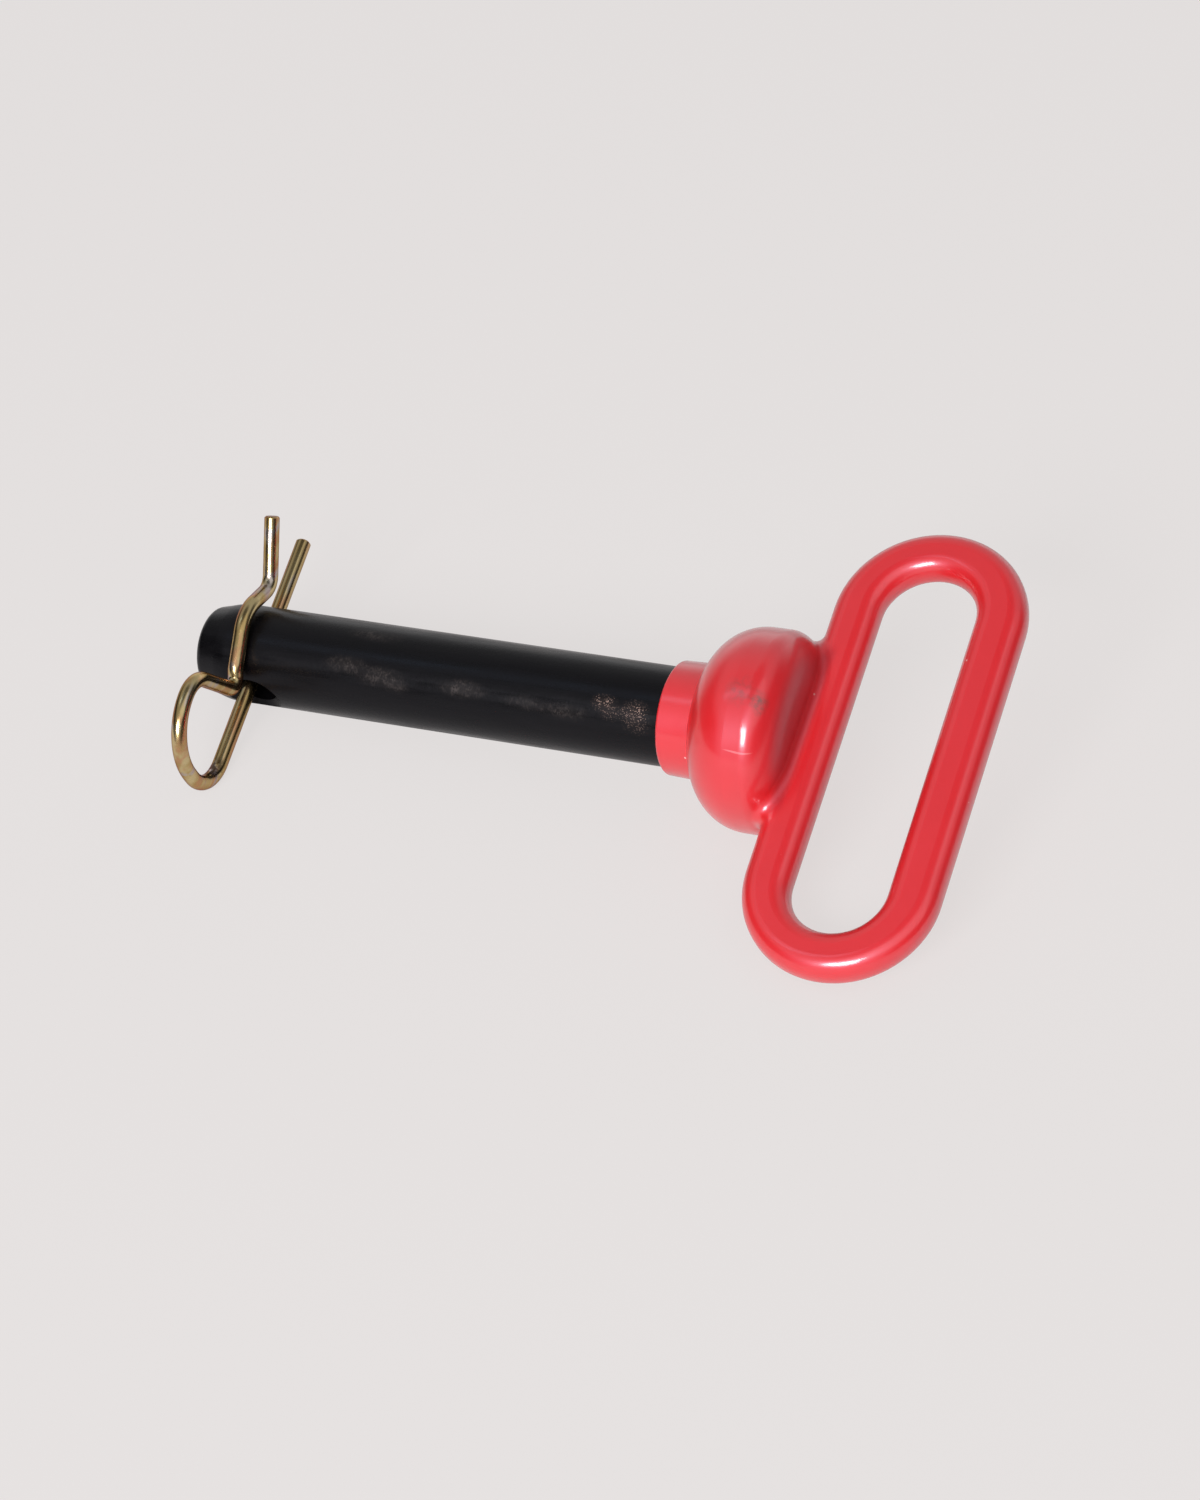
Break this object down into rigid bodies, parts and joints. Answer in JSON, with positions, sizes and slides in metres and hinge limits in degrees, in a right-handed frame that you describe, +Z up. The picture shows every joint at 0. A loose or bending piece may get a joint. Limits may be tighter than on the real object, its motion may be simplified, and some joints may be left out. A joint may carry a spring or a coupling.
{
  "type": "hitch pin",
  "caption": "Steel drawbar hitch pin with a domed head, a vinyl-coated loop handle and a bent-wire hair pin clip through its cross hole.",
  "frame": {"origin": "centre of the bounding box in plan, on the surface the pin lies on", "axes": "+X runs along the shank towards the handle, +Y towards the handle's raised end, +Z up from the surface; the pin lies as it comes to rest, its shank level to about five degrees and its handle rolled about twenty-two degrees"},
  "size_m": [0.215, 0.1178, 0.0551],
  "materials": {
    "black_steel": "black finished forging, satin, scuffed along the shank",
    "red_vinyl": "dipped vinyl, smooth and glossy",
    "yellow_zinc": "yellow zinc plated spring steel wire"
  },
  "bodies": {
    "pin": {"forged_pin": "black_steel", "grip_coat": "red_vinyl"},
    "clip": {"hair_pin_clip": "yellow_zinc"}
  },
  "joints": [
    {"name": "clip_pull", "type": "slide", "parent": "pin", "child": "clip", "axis": [0.0631, -0.9266, -0.3707], "range_m": [0, 0.075], "deforming": ["hair_pin_clip"]}
  ]
}
